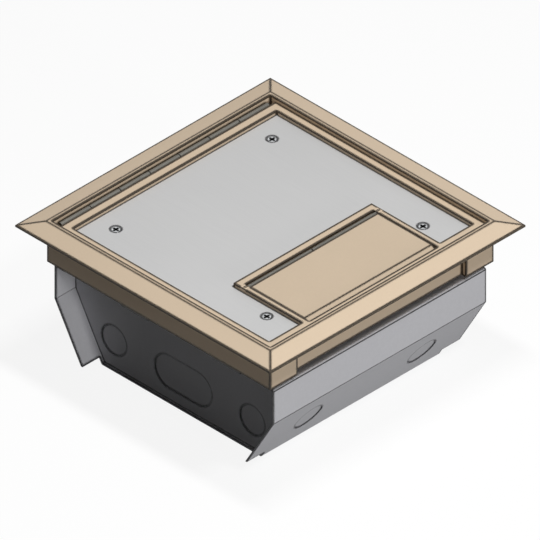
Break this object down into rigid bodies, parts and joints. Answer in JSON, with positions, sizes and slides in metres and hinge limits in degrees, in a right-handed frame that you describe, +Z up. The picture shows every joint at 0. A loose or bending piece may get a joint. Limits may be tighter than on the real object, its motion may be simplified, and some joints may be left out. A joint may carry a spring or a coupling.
{
  "type": "floor box",
  "caption": "Square raised-floor service box with a bevelled trim frame, hinged lid, cable flap, sloped power and data brackets and floor clamps.",
  "frame": {"origin": "centre of the steel pan's underside", "axes": "+Z up out of the floor, +Y towards the lid's hinge side, +X to the right, the flap side is -Y"},
  "size_m": [0.2892, 0.2892, 0.1358],
  "materials": {
    "tan_enamel": "satin tan powder coat on cast aluminium",
    "galvanised_sheet": "galvanised sheet steel, satin",
    "plate_steel": "plain grey steel plate, satin",
    "hinge_steel": "rolled steel, satin",
    "zinc_screw": "bright zinc plate",
    "clamp_iron": "cast, dull zinc",
    "seat_rubber": "black EPDM",
    "outlet_plastic": "moulded, ivory",
    "port_plastic": "moulded, light grey",
    "jack_plastic": "moulded, black",
    "ground_green": "green dyed zinc"
  },
  "bodies": {
    "box": {"trim_frame": "tan_enamel", "seat_pads": "seat_rubber", "box_wrap": "galvanised_sheet", "end_wall_left": "galvanised_sheet", "end_wall_right": "galvanised_sheet", "frame_screws": "zinc_screw", "device_bracket_power": "galvanised_sheet", "device_bracket_data": "galvanised_sheet", "bracket_screws": "zinc_screw", "receptacle_body_left": "outlet_plastic", "receptacle_body_right": "outlet_plastic", "receptacle_strap_left": "hinge_steel", "receptacle_strap_right": "hinge_steel", "receptacle_screws": "zinc_screw", "data_plate_left": "port_plastic", "data_plate_right": "port_plastic", "data_plate_screws": "zinc_screw", "data_jacks": "jack_plastic", "data_blanks": "port_plastic", "ground_screw": "ground_green", "hinge_leaf_fixed": "hinge_steel", "hinge_pin": "hinge_steel", "hinge_screws_frame": "zinc_screw"},
    "lid": {"hinge_leaf_lid": "hinge_steel", "hinge_screws_lid": "zinc_screw", "lid_frame": "tan_enamel", "lid_plate": "plate_steel", "lid_plate_screws": "zinc_screw", "flap_pads": "seat_rubber", "flap_hinge_pins": "hinge_steel"},
    "flap": {"flap": "tan_enamel"},
    "clamp_screw_front_left": {"clamp_screw_front_left": "zinc_screw"},
    "clamp_dog_front_left": {"clamp_dog_front_left": "clamp_iron"},
    "clamp_screw_back_left": {"clamp_screw_back_left": "zinc_screw"},
    "clamp_dog_back_left": {"clamp_dog_back_left": "clamp_iron"},
    "clamp_screw_front_right": {"clamp_screw_front_right": "zinc_screw"},
    "clamp_dog_front_right": {"clamp_dog_front_right": "clamp_iron"},
    "clamp_screw_back_right": {"clamp_screw_back_right": "zinc_screw"},
    "clamp_dog_back_right": {"clamp_dog_back_right": "clamp_iron"}
  },
  "joints": [
    {"name": "lid_hinge", "type": "hinge", "parent": "box", "child": "lid", "pos_m": [0, 0.1204, 0.13025], "axis": [-1, 0, 0], "range_deg": [0, 98]},
    {"name": "flap_hinge", "type": "hinge", "parent": "lid", "child": "flap", "pos_m": [0, -0.047, 0.13025], "axis": [-1, 0, 0], "range_deg": [0, 95]},
    {"name": "clamp_swing_front_left", "type": "hinge", "parent": "box", "child": "clamp_screw_front_left", "pos_m": [-0.11113, -0.052, 0.084], "axis": [0, 0, -1], "range_deg": [0, 90]},
    {"name": "clamp_grip_front_left", "type": "slide", "parent": "clamp_screw_front_left", "child": "clamp_dog_front_left", "axis": [0, 0, 1], "range_m": [0, 0.0055]},
    {"name": "clamp_swing_back_left", "type": "hinge", "parent": "box", "child": "clamp_screw_back_left", "pos_m": [-0.11113, 0.052, 0.084], "axis": [0, 0, -1], "range_deg": [0, 90]},
    {"name": "clamp_grip_back_left", "type": "slide", "parent": "clamp_screw_back_left", "child": "clamp_dog_back_left", "axis": [0, 0, 1], "range_m": [0, 0.0055]},
    {"name": "clamp_swing_front_right", "type": "hinge", "parent": "box", "child": "clamp_screw_front_right", "pos_m": [0.11113, -0.052, 0.084], "axis": [0, 0, -1], "range_deg": [0, 90]},
    {"name": "clamp_grip_front_right", "type": "slide", "parent": "clamp_screw_front_right", "child": "clamp_dog_front_right", "axis": [0, 0, 1], "range_m": [0, 0.0055]},
    {"name": "clamp_swing_back_right", "type": "hinge", "parent": "box", "child": "clamp_screw_back_right", "pos_m": [0.11113, 0.052, 0.084], "axis": [0, 0, -1], "range_deg": [0, 90]},
    {"name": "clamp_grip_back_right", "type": "slide", "parent": "clamp_screw_back_right", "child": "clamp_dog_back_right", "axis": [0, 0, 1], "range_m": [0, 0.0055]}
  ]
}
